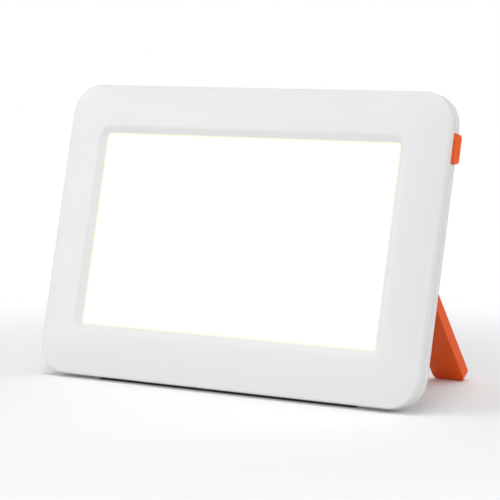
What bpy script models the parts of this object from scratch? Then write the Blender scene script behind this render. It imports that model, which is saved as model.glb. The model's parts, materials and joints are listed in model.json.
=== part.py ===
"""Light therapy lamp: a flat white case that leans back on a folding orange leg.

Metres, +Z up, +X to the right as seen from the front, +Y towards the back. The origin is the centre of
the sole of the rubber strip under the case. The case and all that it holds is drawn in a frame of its
own: x to the right, y from the front face towards the back (called depth), z up along the case from
its middle (called rise). That frame hangs on an empty that leans back.
"""

import bmesh
import bpy
from math import asin, cos, pi, radians, sin, tan
from mathutils import Matrix, Vector

mm = 0.001

# Shared clearances and the fineness of round shapes
clearance = 0.3 * mm
overrun = 1 * mm
fusion = 0.5 * mm
merge_distance = 0.001 * mm
corner_steps = 8
edge_steps = 5
crown_steps = 3
round_segments = 24
screw_segments = 16
sharp_angle = radians(35)
quarter_turn = pi / 2
towards_back = (-quarter_turn, 0, 0)
shell_solver = "MANIFOLD"  # EXACT drops a face of the two long-worked shells at some sizes

# Case, outside
case_width = 235 * mm
case_height = 156 * mm
case_corner_radius = 16.5 * mm
case_lean = radians(13.27)
front_edge_radius = 1 * mm
crown_depth = 2.1 * mm
back_depth = 14.8 * mm
back_edge_radius = 5.5 * mm
seam_depth = 7 * mm
seam_gap = 0.3 * mm

# Front bezel
bezel_wall = 2 * mm
face_thickness = 1.9 * mm
bezel_side = 22.65 * mm
bezel_top = 22.55 * mm
bezel_bottom = 23.55 * mm
bevel_width = 3.3 * mm
bevel_depth = 1.7 * mm
window_corner_radius = 2.7 * mm
level_inset = 15 * mm
rib_thickness = 1.2 * mm
rib_length = 50 * mm

# Rear cover
tongue_thickness = 1.2 * mm
tongue_length = 1.75 * mm
floor_thickness = 1.8 * mm
inner_chamfer = 1.5 * mm

# Optical stack, front to back
diffuser_thickness = 1.5 * mm
film_thickness = 0.3 * mm
guide_thickness = 3 * mm
reflector_thickness = 0.3 * mm
tray_thickness = 0.8 * mm
guide_side_margin = 6.4 * mm
guide_end_margin = 4.4 * mm
tray_side_margin = 1.2 * mm
ear_width = 8 * mm
ear_reach = 6.8 * mm
ear_drop = 5.5 * mm

# LED boards
led_board_thickness = 1 * mm
led_height = 0.8 * mm
led_width = 3 * mm
led_depth = 2.2 * mm
led_count = 22

# Screws: the case's, the tray's and the driver board's
case_shank_radius = 1.2 * mm
case_head_radius = 2.6 * mm
case_head_height = 1.8 * mm
case_thread_length = 5 * mm
case_boss_radius = 3 * mm
case_boss_end = 9 * mm
case_post_radius = 4 * mm
case_post_seat = 2 * mm
corner_screw_inset_x = 10.5 * mm
corner_screw_inset_z = 13 * mm
side_screw_inset = 9.5 * mm
tray_head_radius = 2.3 * mm
tray_head_height = 1.3 * mm
tray_boss_radius = 2.6 * mm
tray_thread_length = 4.5 * mm
board_shank_radius = 1 * mm
board_head_radius = 1.9 * mm
board_head_height = 1.1 * mm
board_thread_length = 4 * mm
board_post_radius = 2.6 * mm
recess_share = 0.6
recess_slot_share = 0.28
recess_depth_share = 0.55
head_crown_share = 0.6
blind_end = 0.6 * mm

# Housing for the electronics, raised on the back
pod_overhang = 7.4 * mm
pod_margin = 1.15 * mm
pod_headroom = 1 * mm
pod_wall = 1.6 * mm
pod_corner_radius = 6 * mm
pod_edge_radius = 2 * mm

# Driver board and what stands on it
board_thickness = 1 * mm
board_back_gap = 0.8 * mm
board_wall_gap = 1.31 * mm
board_length = 120.5 * mm
board_screw_inset = 8 * mm
board_screw_end_inset = 14.6 * mm
board_screw_drop = 3.5 * mm
inductor_radius = 4.5 * mm
inductor_height = 5 * mm
inductor_core_radius = 2 * mm
inductor_flange = 0.9 * mm
inductor_place_share = 0.42
capacitor_radius = 3.2 * mm
capacitor_length = 11 * mm
capacitor_place_share = 0.62
chip_width = 6 * mm
chip_height = 5 * mm
chip_thickness = 1.5 * mm
chip_place_share = 0.8
part_drop_share = 0.5

# Inlet jack, in a notch of the driver board's left end
jack_length = 11.4 * mm
jack_width = 5.4 * mm
jack_height = 4.8 * mm
jack_depth = 9.9 * mm
jack_mouth_inset = 4.6 * mm
jack_bore_radius = 1.9 * mm
jack_bore_length = 9 * mm
jack_pin_radius = 0.6 * mm
jack_pin_length = 7.5 * mm
jack_lug_length = 3 * mm
jack_lug_reach = 1.7 * mm
jack_lug_thickness = 0.5 * mm
jack_hole_radius = 2.4 * mm

# Leads and the connectors that they plug into
connector_length = 5 * mm
connector_width = 3 * mm
connector_height = 2.4 * mm
connector_inset = 7 * mm
connector_edge = 0.4 * mm
connector_lug_gap = 0.95 * mm
lead_radius = 0.6 * mm
lead_spacing = 3 * mm
lead_side_gap = 2.3 * mm
lead_bend = 7 * mm
lead_boss_gap = 2.5 * mm

# Button on the right, its switch and the board that carries the switch
button_length = 14.6 * mm
button_depth = 4.7 * mm
button_proud = 1.8 * mm
button_corner_radius = 2 * mm
button_travel = 0.6 * mm
flange_thickness = 1.2 * mm
flange_wing = 2 * mm
flange_depth = 3.9 * mm
plunger_radius = 1.1 * mm
switch_board_width = 6.5 * mm
switch_board_length = 13 * mm
switch_board_gap = 3.5 * mm
switch_board_inset = 10.5 * mm
switch_length = 4.6 * mm
switch_width = 6 * mm
switch_height = 3 * mm
switch_edge = 0.6 * mm
switch_wall = 1 * mm
stem_radius = 0.9 * mm
stem_proud = 1.5 * mm
peg_radius = 0.9 * mm
peg_proud = 0.5 * mm
peg_edge = 1.8 * mm
shoulder_radius = 1.8 * mm

# Rubber strip that the case stands on
strip_length = 160 * mm
strip_width = 5 * mm
strip_thickness = 1.2 * mm
strip_proud = 0.6 * mm

# Stand: leg, turntable, hinge
leg_width = 18.7 * mm
leg_thickness = 6.5 * mm
leg_corner_radius = 4.25 * mm
leg_top_radius = 2 * mm
leg_slope = radians(35.8)
leg_sole = 2 * mm
heel_length = 5 * mm
prong_thickness = 3.2 * mm
hinge_inset = 50.55 * mm
stand_inset = 44 * mm
disc_radius = 13 * mm
disc_thickness = 1.7 * mm
disc_edge = 0.4 * mm
well_floor_thickness = 1.5 * mm
well_wall = 2 * mm
hub_radius = 3.5 * mm
groove_radius = 2.6 * mm
groove_length = 1.2 * mm
hub_tip_length = 0.5 * mm
clip_radius = 6 * mm
clip_thickness = 0.6 * mm
clip_slot = 3.8 * mm
pin_radius = 1.25 * mm
washer_radius = 3 * mm
washer_thickness = 0.8 * mm

# Depths that follow from the sizes above
bezel_rim = seam_depth - seam_gap / 2
cover_rim = seam_depth + seam_gap / 2
floor_depth = back_depth - floor_thickness
diffuser_front = face_thickness + clearance
diffuser_back = diffuser_front + diffuser_thickness
film_front = diffuser_back + clearance
film_back = film_front + film_thickness
guide_front = film_back + clearance
guide_back = guide_front + guide_thickness
reflector_front = guide_back + clearance
reflector_back = reflector_front + reflector_thickness
tray_front = reflector_back + clearance
tray_back = tray_front + tray_thickness
board_back = floor_depth - board_back_gap
board_front = board_back - board_thickness
pod_floor = board_back + clearance + 2 * capacitor_radius + pod_headroom
pod_depth = pod_floor + pod_wall

# Window and the parts behind it
window_half_width = case_width / 2 - bezel_side - bevel_width
window_half_height = case_height / 2 - (bezel_top + bezel_bottom) / 2 - bevel_width
window_rise = (bezel_bottom - bezel_top) / 2
guide_half_width = window_half_width + guide_side_margin
guide_half_height = window_half_height + guide_end_margin
led_board_low = guide_half_height + clearance + led_height
led_board_high = led_board_low + led_board_thickness
flange_low = led_board_high + clearance
tray_half_height = flange_low + tray_thickness
tray_half_width = guide_half_width + tray_side_margin
ear_x = tray_half_width + ear_reach

# Inner walls of the case
inner_inset = bezel_wall + clearance + tongue_thickness
inner_half_width = case_width / 2 - inner_inset
left_wall = -case_width / 2
right_wall = case_width / 2


def inner_wall(rise):
    """Distance of the case's inner side wall from its middle, less where a corner is near."""
    radius = case_corner_radius - inner_inset
    past_straight = max(0, rise - (case_height / 2 - case_corner_radius))
    return inner_half_width - radius + (radius**2 - past_straight**2) ** 0.5


# Screw places
corner_screw_x = case_width / 2 - corner_screw_inset_x
corner_screw_z = case_height / 2 - corner_screw_inset_z
side_screw_x = case_width / 2 - side_screw_inset
case_screw_spots = [(side * corner_screw_x, end * corner_screw_z) for side in (-1, 1) for end in (-1, 1)]
case_screw_spots += [(side * side_screw_x, 0) for side in (-1, 1)]
case_post_front = case_boss_end + clearance
case_head_seat = case_post_front + case_post_seat
case_thread_end = case_boss_end - case_thread_length
tray_boss_end = tray_front - clearance
tray_thread_end = tray_boss_end - tray_thread_length

# Driver board places
board_height = jack_width + 2 * (jack_lug_reach + connector_lug_gap + connector_width + connector_edge)
board_top = corner_screw_z - case_post_radius - fusion
board_low = board_top - board_height
board_left = board_wall_gap - inner_wall(board_top)
board_right = board_left + board_length
jack_rise = (board_top + board_low) / 2
jack_mouth = left_wall + jack_mouth_inset
jack_end = jack_mouth + jack_length
connector_x = board_left + connector_inset
connector_rises = {
    "top": board_top - connector_edge - connector_width / 2,
    "bottom": board_low + connector_edge + connector_width / 2,
}
pod_left = jack_end + 3 * clearance + pod_corner_radius
pod_width = board_right + pod_overhang - pod_left
pod_height = board_height + 2 * (pod_wall + pod_margin)
pod_x = pod_left + pod_width / 2
pod_rise = board_low + board_height / 2 + pod_wall + 2 * clearance
board_post_rise = board_top - board_screw_drop
board_post_spots = [
    (x, board_post_rise) for x in (pod_left + board_screw_inset, board_right - board_screw_end_inset)
]

# The tray's ears, the upper ones below the driver board
ear_reach_up = board_low - ear_drop - ear_width / 2 - window_rise
tray_screw_spots = [
    (side * ear_x, window_rise + end * ear_reach_up) for side in (-1, 1) for end in (-1, 1)
]

# Button places
button_rise = corner_screw_z - case_post_radius - switch_board_gap - switch_board_length / 2
button_face = right_wall + button_proud
flange_half_length = button_length / 2 + flange_wing
flange_face = inner_wall(button_rise + flange_half_length) - clearance
flange_back = flange_face - flange_thickness
flange_centre_depth = cover_rim + button_depth / 2
switch_board_right = right_wall - switch_board_inset
switch_board_left = switch_board_right - switch_board_width
switch_front = board_front - clearance - switch_height
switch_depth = switch_front + switch_height / 2
switch_right = switch_board_right - switch_edge
switch_left = switch_right - switch_length
stem_tip = switch_right + stem_proud
plunger_tip = stem_tip + clearance
peg_spots = [
    (
        (switch_board_left + switch_left) / 2 + peg_edge,
        button_rise + end * (switch_board_length / 2 - peg_edge),
    )
    for end in (-1, 1)
]

# Place of the leaning case: the strip's sole lies on the floor with its centre at the origin
case_foot_depth = back_depth - back_edge_radius + (back_edge_radius + strip_proud) * sin(case_lean)
case_foot_rise = -case_height / 2 + back_edge_radius - (back_edge_radius + strip_proud) * cos(case_lean)
case_y = -(case_foot_depth * cos(case_lean) + case_foot_rise * sin(case_lean))
case_z = case_foot_depth * sin(case_lean) - case_foot_rise * cos(case_lean)

# Place of the hinge, from which the leg's front face runs down its slope to the floor
leg_half = leg_thickness / 2
hinge_depth = back_depth + clearance + leg_half
hinge_rise = case_height / 2 - hinge_inset
leg_opening = leg_slope + case_lean
hinge_height = case_z - hinge_depth * sin(case_lean) + hinge_rise * cos(case_lean)
leg_front_length = (hinge_height - leg_half * sin(leg_slope)) / cos(leg_slope)
leg_length = leg_front_length + leg_sole * sin(leg_slope)
stand_x = case_width / 2 - stand_inset
knuckle_width = leg_width - 2 * (prong_thickness + washer_thickness + 2 * clearance)
fork_half = knuckle_width / 2 + washer_thickness + 2 * clearance
fork_depth = ((leg_half + clearance) ** 2 + leg_half**2) ** 0.5 + 2 * clearance
well_radius = disc_radius + clearance
well_floor = back_depth - disc_thickness - clearance
swivel_boss_front = well_floor - well_floor_thickness


def finish(name, colour, roughness, metallic=0.0):
    """A plain Principled material."""
    material = bpy.data.materials.new(name)
    material.use_nodes = True
    shader = material.node_tree.nodes["Principled BSDF"]
    shader.inputs["Base Color"].default_value = (*colour, 1)
    shader.inputs["Roughness"].default_value = roughness
    shader.inputs["Metallic"].default_value = metallic
    material.diffuse_color = (*colour, 1)
    return material


def mesh_from(name, bm):
    """Turn a bmesh into a smooth mesh with sharp corners kept, and free it."""
    bmesh.ops.recalc_face_normals(bm, faces=bm.faces)
    mesh = bpy.data.meshes.new(name)
    bm.to_mesh(mesh)
    bm.free()
    mesh.shade_smooth()
    mesh.set_sharp_from_angle(angle=sharp_angle)
    return mesh


def boxes(name, corners):
    """Boxes, each given by its lowest and highest corner."""
    bm = bmesh.new()
    for low, high in corners:
        middle = (Vector(low) + Vector(high)) / 2
        size = Vector(high) - Vector(low)
        place = Matrix.Translation(middle) @ Matrix.Diagonal((*size, 1))
        bmesh.ops.create_cube(bm, size=1, matrix=place)
    return mesh_from(name, bm)


def rods(name, places, segments=round_segments):
    """Round rods along the depth, each given by x, rise, radius, front end and back end."""
    bm = bmesh.new()
    for x, rise, radius, front, back in places:
        middle = Matrix.Translation((x, (front + back) / 2, rise))
        turn = Matrix.Rotation(-quarter_turn, 4, "X")
        bmesh.ops.create_cone(
            bm, cap_ends=True, segments=segments, radius1=radius, radius2=radius, depth=back - front,
            matrix=middle @ turn,
        )
    return mesh_from(name, bm)


def cross_rod(name, radius, left, right, segments=round_segments):
    """A round rod along x through the local origin."""
    bm = bmesh.new()
    place = Matrix.Translation(((left + right) / 2, 0, 0)) @ Matrix.Rotation(quarter_turn, 4, "Y")
    bmesh.ops.create_cone(
        bm, cap_ends=True, segments=segments, radius1=radius, radius2=radius, depth=right - left,
        matrix=place,
    )
    return mesh_from(name, bm)


def extruded(name, outline, low, high, axis):
    """A flat outline drawn in the plane across an axis and drawn out along it from low to high."""
    along = Vector([axis == "x", axis == "y", axis == "z"])
    first, second = [Vector(side) for side in ((1, 0, 0), (0, 1, 0), (0, 0, 1)) if Vector(side) != along]
    bm = bmesh.new()
    corners = [bm.verts.new(first * a + second * b + along * low) for a, b in outline]
    face = bm.faces.new(corners)
    grown = bmesh.ops.extrude_face_region(bm, geom=[face])["geom"]
    moved = [item for item in grown if isinstance(item, bmesh.types.BMVert)]
    bmesh.ops.translate(bm, verts=moved, vec=along * (high - low))
    return mesh_from(name, bm)


def loft(name, rings, closed=False):
    """A skin over rings that have the same number of points: closed to a loop, or capped at both ends."""
    bm = bmesh.new()
    loops = [[bm.verts.new(point) for point in ring] for ring in rings]
    count = len(loops[0])
    pairs = list(zip(loops, loops[1:]))
    if closed:
        pairs.append((loops[-1], loops[0]))
    else:
        bm.faces.new(loops[0])
        bm.faces.new(loops[-1])
    for near, far in pairs:
        for i in range(count):
            j = (i + 1) % count
            bm.faces.new((near[i], near[j], far[j], far[i]))
    return mesh_from(name, bm)


def arc(centre_a, centre_b, radius, start, end, steps):
    """Points of an arc, both ends included."""
    angles = [start + (end - start) * i / steps for i in range(steps + 1)]
    return [(centre_a + radius * cos(angle), centre_b + radius * sin(angle)) for angle in angles]


def rounded_outline(half_width, half_height, radius):
    """A rectangle with round corners, as points in a plane."""
    points = []
    for quarter, (side, end) in enumerate(((1, 1), (-1, 1), (-1, -1), (1, -1))):
        start = quarter * quarter_turn
        centre = (side * (half_width - radius), end * (half_height - radius))
        points += arc(*centre, radius, start, start + quarter_turn, corner_steps)
    return points


def ring(half_width, half_height, radius, depth, x=0.0, rise=0.0):
    """A rounded rectangle across the depth."""
    return [(x + a, depth, rise + b) for a, b in rounded_outline(half_width, half_height, radius)]


def case_ring(inset, depth):
    """The case's outline, drawn in by an inset."""
    return ring(case_width / 2 - inset, case_height / 2 - inset, case_corner_radius - inset, depth)


def add_object(name, mesh, parent, location, rotation, collection):
    """An object placed in its parent's frame."""
    body = bpy.data.objects.new(name, mesh)
    body.parent = parent
    body.location = location
    body.rotation_euler = rotation
    collection.objects.link(body)
    return body


def add_empty(name, parent, location, rotation):
    """A frame that pieces hang on."""
    return add_object(name, None, parent, location, rotation, pieces)


def add_piece(name, mesh, material, parent=None, location=(0, 0, 0), rotation=(0, 0, 0)):
    """One sub-part of the lamp."""
    mesh.materials.append(material)
    return add_object(name, mesh, parent, location, rotation, pieces)


def shape(
    piece, operation, mesh, location=(0, 0, 0), rotation=(0, 0, 0), parent=None, solver="EXACT"
):
    """Join a mesh to a piece, cut it away or keep only what it covers."""
    helper = add_object(mesh.name, mesh, parent or piece.parent, location, rotation, cutters)
    helper.hide_render = True
    helper.display_type = "WIRE"
    modifier = piece.modifiers.new(mesh.name, "BOOLEAN")
    modifier.object = helper
    modifier.operation = operation
    modifier.solver = solver


def add_turned(name, profile, material, parent=None, location=(0, 0, 0), rotation=(0, 0, 0), segments=None):
    """A turned piece: a profile of (radius, height), from top to bottom, spun about the local z axis."""
    bm = bmesh.new()
    points = [bm.verts.new((radius, 0, height)) for radius, height in profile]
    for upper, lower in zip(points, points[1:]):
        bm.edges.new((upper, lower))
    mesh = bpy.data.meshes.new(name)
    bm.to_mesh(mesh)
    bm.free()
    piece = add_piece(name, mesh, material, parent, location, rotation)
    spin = piece.modifiers.new("spin", "SCREW")
    spin.steps = segments or round_segments
    spin.render_steps = spin.steps
    spin.use_merge_vertices = True
    spin.merge_threshold = merge_distance
    return piece


def baked(piece):
    """The finished mesh of a piece, which copies can share."""
    bpy.context.view_layer.update()
    graph = bpy.context.evaluated_depsgraph_get()
    return bpy.data.meshes.new_from_object(piece.evaluated_get(graph))


def screw_mesh(name, shank_radius, shank_length, head_radius, head_height, material):
    """A pan-head screw with a cross recess, its head's underside at height 0."""
    crown = head_crown_share * head_radius
    profile = [
        (0, head_height), (crown, head_height), (head_radius, head_height * head_crown_share),
        (head_radius, 0), (shank_radius, 0), (shank_radius, shank_radius - shank_length), (0, -shank_length),
    ]
    pattern = add_turned(name, profile, material, segments=screw_segments)
    reach = recess_share * head_radius
    slot = recess_slot_share * reach
    plus = [
        (slot, reach), (-slot, reach), (-slot, slot), (-reach, slot), (-reach, -slot), (-slot, -slot),
        (-slot, -reach), (slot, -reach), (slot, -slot), (reach, -slot), (reach, slot), (slot, slot),
    ]
    bottom = head_height * (1 - recess_depth_share)
    shape(pattern, "DIFFERENCE", extruded(name + "_recess", plus, bottom, head_height + overrun, "z"))
    mesh = baked(pattern)
    helper = pattern.modifiers[-1].object
    bpy.data.objects.remove(pattern)
    bpy.data.objects.remove(helper)
    return mesh


def add_screws(name, mesh, spots, depth, towards):
    """The same screw at several spots, its head's underside at a depth."""
    for number, (x, rise) in enumerate(spots, 1):
        add_object(f"{name}_{number}", mesh, case, (x, depth, rise), towards, pieces)


def smooth_route(points, spacing):
    """Points at an even spacing along a smooth curve through a lead's own points."""
    route = [Vector(point) for point in points]
    knots = [2 * route[0] - route[1], *route, 2 * route[-1] - route[-2]]
    result = []
    for a, b, c, d in zip(knots, knots[1:], knots[2:], knots[3:]):
        steps = max(1, round((c - b).length / spacing))
        start_slope = (c - a) / 2
        end_slope = (d - b) / 2
        for i in range(steps):
            t = i / steps
            along = t * t * (3 - 2 * t)
            leaving = t * (1 - t) * (1 - t)
            arriving = -t * t * (1 - t)
            result.append(b.lerp(c, along) + start_slope * leaving + end_slope * arriving)
    return [*result, route[-1]]


def add_lead(name, points, material):
    """A round lead along a route in the case's frame."""
    route = smooth_route(points, lead_spacing)
    curve = bpy.data.curves.new(name, "CURVE")
    curve.dimensions = "3D"
    curve.bevel_depth = lead_radius
    curve.bevel_resolution = 2
    curve.use_fill_caps = True
    spline = curve.splines.new("POLY")
    spline.points.add(len(route) - 1)
    for knot, point in zip(spline.points, route):
        knot.co = (*point, 1)
    curve.materials.append(material)
    add_object(name, curve, case, (0, 0, 0), (0, 0, 0), pieces)


def crown_ring(share):
    """A ring of the crowned face, at a share of the way from its outer edge to the window's bevel."""
    edge = front_edge_radius
    half_width = case_width / 2 - edge - share * (bezel_side - edge)
    half_height = case_height / 2 - edge - share * ((bezel_top + bezel_bottom) / 2 - edge)
    outer_radius = case_corner_radius - edge
    radius = outer_radius + share * (window_corner_radius + bevel_width - outer_radius)
    depth = crown_depth * (1 - share) ** 2
    return ring(half_width, half_height, radius, depth, 0, share * window_rise)


def add_front_bezel():
    """White frame: side wall, round front edge, crowned face and a sloped recess round the window."""
    radius = front_edge_radius
    rings = [case_ring(0, bezel_rim)]
    for i in range(edge_steps):
        angle = quarter_turn * i / edge_steps
        rings.append(case_ring(radius * (1 - cos(angle)), crown_depth + radius * (1 - sin(angle))))
    rings += [crown_ring(i / crown_steps) for i in range(crown_steps + 1)]
    rings += [
        ring(window_half_width, window_half_height, window_corner_radius, bevel_depth, 0, window_rise),
        ring(window_half_width, window_half_height, window_corner_radius, face_thickness, 0, window_rise),
        case_ring(level_inset, face_thickness),
        case_ring(bezel_wall, face_thickness + crown_depth),
        case_ring(bezel_wall, bezel_rim),
    ]
    bezel = add_piece("front_bezel", loft("front_bezel", rings, closed=True), white_shell, case)

    base = face_thickness - fusion
    bosses = [(x, rise, case_boss_radius, base, case_boss_end) for x, rise in case_screw_spots]
    bosses += [(x, rise, tray_boss_radius, base, tray_boss_end) for x, rise in tray_screw_spots]
    shape(bezel, "UNION", rods("bezel_bosses", bosses), solver=shell_solver)

    side = guide_half_width + clearance
    end = tray_half_height + clearance
    half = rib_length / 2
    ribs = []
    for sign in (-1, 1):
        low, high = sorted((sign * side, sign * (side + rib_thickness)))
        ribs.append(((low, base, window_rise - half), (high, guide_back, window_rise + half)))
        low, high = sorted((sign * end, sign * (end + rib_thickness)))
        ribs.append(((-half, base, window_rise + low), (half, guide_back, window_rise + high)))
    shape(bezel, "UNION", boxes("bezel_ribs", ribs), solver=shell_solver)

    hole = case_shank_radius + clearance
    bores = [
        (x, rise, hole, case_thread_end - blind_end, case_boss_end + overrun)
        for x, rise in case_screw_spots
    ]
    bores += [
        (x, rise, hole, tray_thread_end - blind_end, tray_boss_end + overrun)
        for x, rise in tray_screw_spots
    ]
    shape(bezel, "DIFFERENCE", rods("bezel_bores", bores, screw_segments), solver=shell_solver)


def add_rear_cover():
    """White back shell with its tongue, the raised housing, screw posts and the leg's round well."""
    tongue_outer = bezel_wall + clearance
    tongue_inner = tongue_outer + tongue_thickness
    tongue_tip = cover_rim - tongue_length
    rings = [
        case_ring(tongue_inner + inner_chamfer, floor_depth),
        case_ring(tongue_inner, floor_depth - inner_chamfer),
        case_ring(tongue_inner, tongue_tip),
        case_ring(tongue_outer, tongue_tip),
        case_ring(tongue_outer, cover_rim),
        case_ring(0, cover_rim),
    ]
    radius = back_edge_radius
    for i in range(edge_steps + 1):
        angle = quarter_turn * i / edge_steps
        rings.append(case_ring(radius * (1 - cos(angle)), back_depth - radius * (1 - sin(angle))))
    cover = add_piece("rear_cover", loft("rear_cover", rings), white_shell, case)

    half_width = pod_width / 2
    half_height = pod_height / 2
    block = [ring(half_width, half_height, pod_corner_radius, back_depth - fusion, pod_x, pod_rise)]
    for i in range(edge_steps + 1):
        angle = quarter_turn * i / edge_steps
        inset = pod_edge_radius * (1 - cos(angle))
        depth = pod_depth - pod_edge_radius * (1 - sin(angle))
        corner = pod_corner_radius - inset
        block.append(ring(half_width - inset, half_height - inset, corner, depth, pod_x, pod_rise))
    shape(cover, "UNION", loft("pod_block", block), solver=shell_solver)

    swivel_boss = [(stand_x, hinge_rise, well_radius + well_wall, swivel_boss_front, floor_depth + fusion)]
    boss = rods("swivel_boss", swivel_boss, 2 * round_segments)
    shape(cover, "UNION", boss, solver=shell_solver)

    corner = pod_corner_radius - pod_wall
    cavity = [
        ring(half_width - pod_wall, half_height - pod_wall, corner, depth, pod_x, pod_rise)
        for depth in (floor_depth - overrun, pod_floor)
    ]
    shape(cover, "DIFFERENCE", loft("pod_cavity", cavity), solver=shell_solver)

    root = floor_depth + fusion
    posts = [(x, rise, case_post_radius, case_post_front, root) for x, rise in case_screw_spots]
    post_front = board_back + clearance
    pod_root = pod_floor + fusion
    posts += [(x, rise, board_post_radius, post_front, pod_root) for x, rise in board_post_spots]
    posts += [(x, rise, shoulder_radius, post_front, root) for x, rise in peg_spots]
    shape(cover, "UNION", rods("cover_posts", posts), solver=shell_solver)
    pegs = [(x, rise, peg_radius, board_front - peg_proud, root) for x, rise in peg_spots]
    shape(cover, "UNION", rods("board_pegs", pegs, screw_segments), solver=shell_solver)

    hole = case_shank_radius + clearance
    hole_front = case_post_front - overrun
    hole_back = case_head_seat + overrun
    holes = [(x, rise, hole, hole_front, hole_back) for x, rise in case_screw_spots]
    thread_end = post_front + board_thread_length + blind_end
    hole = board_shank_radius + clearance
    holes += [(x, rise, hole, post_front - overrun, thread_end) for x, rise in board_post_spots]
    hub_hole = hub_radius + clearance
    holes.append((stand_x, hinge_rise, hub_hole, swivel_boss_front - overrun, well_floor + overrun))
    shape(cover, "DIFFERENCE", rods("cover_holes", holes), solver=shell_solver)
    sunk = case_head_radius + clearance
    wells = [(x, rise, sunk, case_head_seat, back_depth + overrun) for x, rise in case_screw_spots]
    shape(cover, "DIFFERENCE", rods("screw_wells", wells), solver=shell_solver)
    well = [(stand_x, hinge_rise, well_radius, well_floor, back_depth + overrun)]
    well = rods("swivel_well", well, 2 * round_segments)
    shape(cover, "DIFFERENCE", well, solver=shell_solver)

    reach = button_length / 2 + clearance
    notch = (
        (inner_half_width - overrun, tongue_tip - overrun, button_rise - reach),
        (right_wall + overrun, cover_rim + button_depth + clearance, button_rise + reach),
    )
    shape(cover, "DIFFERENCE", boxes("button_notch", [notch]), solver=shell_solver)
    inlet = cross_rod("inlet_hole", jack_hole_radius, left_wall - overrun, -inner_half_width + overrun)
    shape(cover, "DIFFERENCE", inlet, (0, jack_depth, jack_rise), solver=shell_solver)
    half = Vector((strip_length / 2 + clearance, strip_width / 2 + clearance, 0))
    low = -half - Vector((0, 0, overrun))
    high = half + Vector((0, 0, strip_thickness + clearance))
    pocket = boxes("strip_pocket", [(low, high)])
    shape(cover, "DIFFERENCE", pocket, parent=ground, solver=shell_solver)


def add_optical_stack():
    """Diffuser, film, light guide, reflector and the tray that holds them, from front to back."""
    side_overlap = tray_side_margin / 2
    full_overlap = tray_half_height - guide_half_height
    led_overlap = led_board_low - guide_half_height
    sheets = (
        ("diffuser_panel", diffuser_front, diffuser_back, 0, full_overlap, opal_acrylic),
        ("diffuser_film", film_front, film_back, 0, full_overlap, opal_acrylic),
        ("light_guide", guide_front, guide_back, 0, 0, clear_acrylic),
        ("reflector_sheet", reflector_front, reflector_back, side_overlap, led_overlap, white_film),
    )
    for name, front, back, side, end, material in sheets:
        low = (-guide_half_width - side, front, window_rise - guide_half_height - end)
        high = (guide_half_width + side, back, window_rise + guide_half_height + end)
        add_piece(name, boxes(name, [(low, high)]), material, case)

    profile = [
        (guide_front, tray_half_height), (tray_back, tray_half_height), (tray_back, -tray_half_height),
        (guide_front, -tray_half_height), (guide_front, -flange_low), (tray_front, -flange_low),
        (tray_front, flange_low), (guide_front, flange_low),
    ]
    channel = extruded("backing_tray", profile, -tray_half_width, tray_half_width, "x")
    tray = add_piece("backing_tray", channel, sheet_aluminium, case, (0, 0, window_rise))
    half = ear_width / 2
    ears = []
    for x, rise in tray_screw_spots:
        inner = tray_half_width - fusion
        low, high = sorted((inner * (1 if x > 0 else -1), x + half * (1 if x > 0 else -1)))
        centre = rise - window_rise
        ears.append(((low, tray_front, centre - half), (high, tray_back, centre + half)))
    shape(tray, "UNION", boxes("tray_ears", ears), (0, 0, window_rise))
    hole = case_shank_radius + clearance
    holes = [(x, rise, hole, tray_front - overrun, tray_back + overrun) for x, rise in tray_screw_spots]
    shape(tray, "DIFFERENCE", rods("tray_holes", holes, screw_segments))


def add_led_board(name, end):
    """A board along one long edge of the light guide, its row of LEDs facing the edge."""
    low, high = sorted((end * led_board_low, end * led_board_high))
    half = guide_half_width - overrun
    strip = boxes(name, [((-half, guide_front, low), (half, guide_back, high))])
    board = add_piece(name, strip, circuit_board, case, (0, 0, window_rise))
    face = end * (led_board_low - led_height)
    low, high = sorted((face, end * (led_board_low + fusion)))
    middle = (guide_front + guide_back) / 2
    front = middle - led_depth / 2
    back = middle + led_depth / 2
    pitch = 2 * window_half_width / led_count
    leds = []
    for i in range(led_count):
        x = (i - (led_count - 1) / 2) * pitch
        leds.append(((x - led_width / 2, front, low), (x + led_width / 2, back, high)))
    shape(board, "UNION", boxes(name + "_leds", leds), (0, 0, window_rise))


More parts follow.
